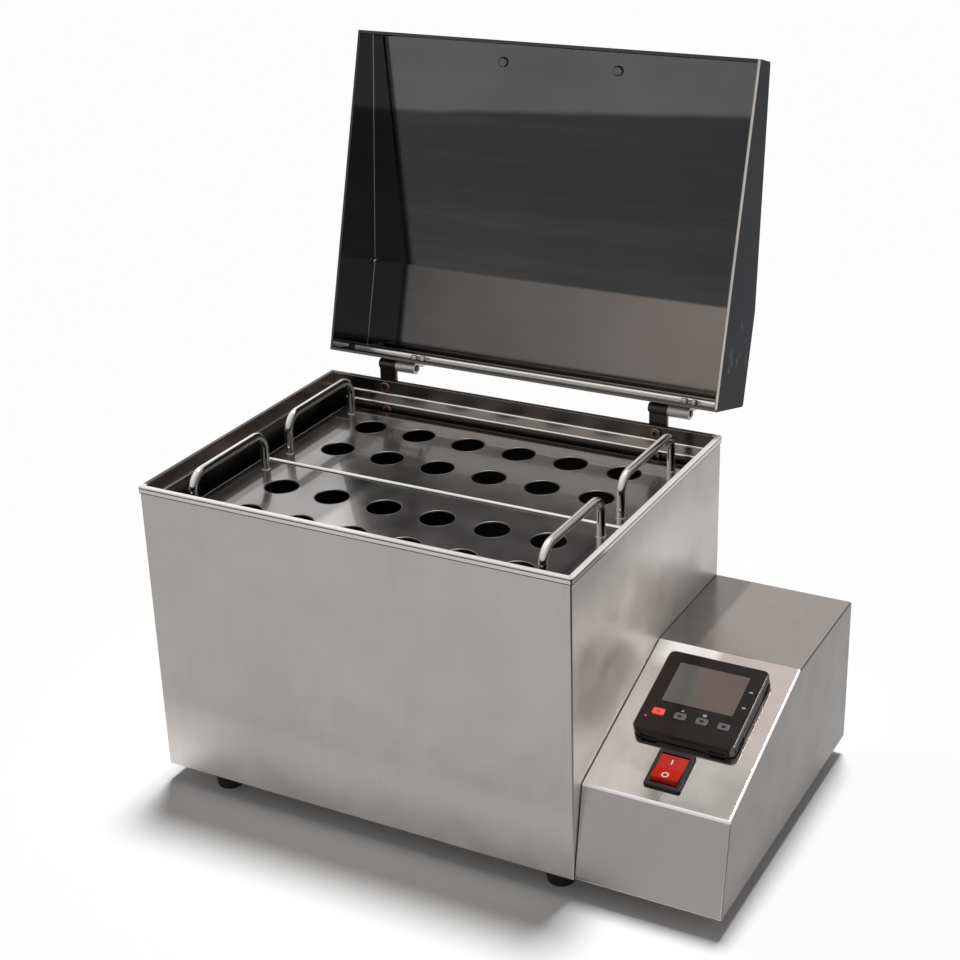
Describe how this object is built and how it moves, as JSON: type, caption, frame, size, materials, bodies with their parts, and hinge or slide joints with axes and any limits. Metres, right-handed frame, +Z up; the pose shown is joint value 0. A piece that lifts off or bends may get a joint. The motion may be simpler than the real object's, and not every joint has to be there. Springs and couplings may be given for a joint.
{
  "type": "water bath",
  "caption": "Stainless bench water bath with a hinged lid, lift-out perforated tube racks and a side housing with sloping controls.",
  "frame": {"origin": "on the bench surface, under the middle of the whole outline with the lid open", "axes": "+X to the right along the tank's length, +Y to the back, +Z up from the bench"},
  "size_m": [0.432, 0.3638, 0.4916],
  "materials": {
    "satin_steel": "satin-rolled stainless sheet",
    "polished_steel": "polished stainless sheet",
    "bright_wire": "electropolished stainless wire",
    "tank_steel": "drawn stainless steel",
    "hinge_steel": "machined stainless steel",
    "screw_steel": "bright stainless fasteners",
    "foot_rubber": "matt moulded rubber",
    "fibre_mat": "pressed glass fibre",
    "mineral_board": "mineral insulating board",
    "heater_rubber": "silicone heating mat",
    "clamp_aluminium": "plain rolled",
    "thermostat_plastic": "moulded phenolic",
    "nut_brass": "turned, plain",
    "black_gloss": "polished moulding",
    "display_window": "smoked window, display off",
    "gasket_rubber": "soft foam rubber",
    "black_matt": "fine-textured moulding",
    "terminal_plastic": "natural nylon",
    "red_button": "orange-red cap",
    "grey_button": "grey cap",
    "red_rocker": "translucent red moulding"
  },
  "bodies": {
    "bath": {"outer_casing": "satin_steel", "rim_trim": "polished_steel", "inner_tank": "tank_steel", "insulation_wrap": "fibre_mat", "backing_strip": "satin_steel", "base_plate": "satin_steel", "floor_board": "mineral_board", "feet": "foot_rubber", "foot_screws": "screw_steel", "heater_pad": "heater_rubber", "heater_clamp": "clamp_aluminium", "heater_studs": "screw_steel", "safety_thermostat": "thermostat_plastic", "temperature_probe": "tank_steel", "probe_nut": "nut_brass", "hinge_pins": "hinge_steel", "hinge_bolts": "screw_steel", "hinge_nuts": "screw_steel", "left_hinge_base": "hinge_steel", "right_hinge_base": "hinge_steel", "control_cover": "satin_steel", "housing_studs": "screw_steel", "rear_panel": "satin_steel", "rear_panel_screws": "screw_steel", "bottom_plate": "satin_steel", "bottom_plate_screws": "screw_steel", "mains_inlet": "black_matt", "inlet_pins": "nut_brass", "inlet_screws": "screw_steel", "power_relay": "clamp_aluminium", "terminal_block": "terminal_plastic", "controller_bezel": "black_gloss", "controller_window": "display_window", "controller_gasket": "gasket_rubber", "controller_case": "black_matt", "controller_clips": "black_matt", "switch_frame": "black_matt"},
    "lid": {"lid_shell": "polished_steel", "lid_handle": "bright_wire", "lid_handle_screws": "screw_steel", "leaf_screws": "screw_steel", "left_hinge_leaf": "hinge_steel", "right_hinge_leaf": "hinge_steel"},
    "front_rack": {"front_rack_plate": "polished_steel", "front_rack_shelf": "polished_steel", "front_rack_left_wire": "bright_wire", "front_rack_right_wire": "bright_wire"},
    "rear_rack": {"rear_rack_plate": "polished_steel", "rear_rack_shelf": "polished_steel", "rear_rack_left_wire": "bright_wire", "rear_rack_right_wire": "bright_wire"},
    "rocker": {"power_rocker": "red_rocker"},
    "button_1": {"controller_button_1": "red_button"},
    "button_2": {"controller_button_2": "grey_button"},
    "button_3": {"controller_button_3": "grey_button"},
    "button_4": {"controller_button_4": "grey_button"}
  },
  "joints": [
    {"name": "lid_hinge", "type": "hinge", "parent": "bath", "child": "lid", "pos_m": [-0.051, 0.0708, 0.247], "axis": [-1, 0, 0], "range_deg": [-105.8, 0]},
    {"name": "front_rack_lift", "type": "slide", "parent": "bath", "child": "front_rack", "axis": [0, 0, 1], "range_m": [0, 0.19]},
    {"name": "rear_rack_lift", "type": "slide", "parent": "bath", "child": "rear_rack", "axis": [0, 0, 1], "range_m": [0, 0.19]},
    {"name": "power_switch", "type": "hinge", "parent": "bath", "child": "rocker", "pos_m": [0.1646, -0.14295, 0.08735], "axis": [1, 0, 0], "range_deg": [0, 12]},
    {"name": "button_1_press", "type": "slide", "parent": "bath", "child": "button_1", "axis": [0, -0.3285, 0.9445], "range_m": [-0.0005, 0], "stiffness_N_per_m": 1500},
    {"name": "button_2_press", "type": "slide", "parent": "bath", "child": "button_2", "axis": [0, -0.3285, 0.9445], "range_m": [-0.0005, 0], "stiffness_N_per_m": 1500},
    {"name": "button_3_press", "type": "slide", "parent": "bath", "child": "button_3", "axis": [0, -0.3285, 0.9445], "range_m": [-0.0005, 0], "stiffness_N_per_m": 1500},
    {"name": "button_4_press", "type": "slide", "parent": "bath", "child": "button_4", "axis": [0, -0.3285, 0.9445], "range_m": [-0.0005, 0], "stiffness_N_per_m": 1500}
  ]
}
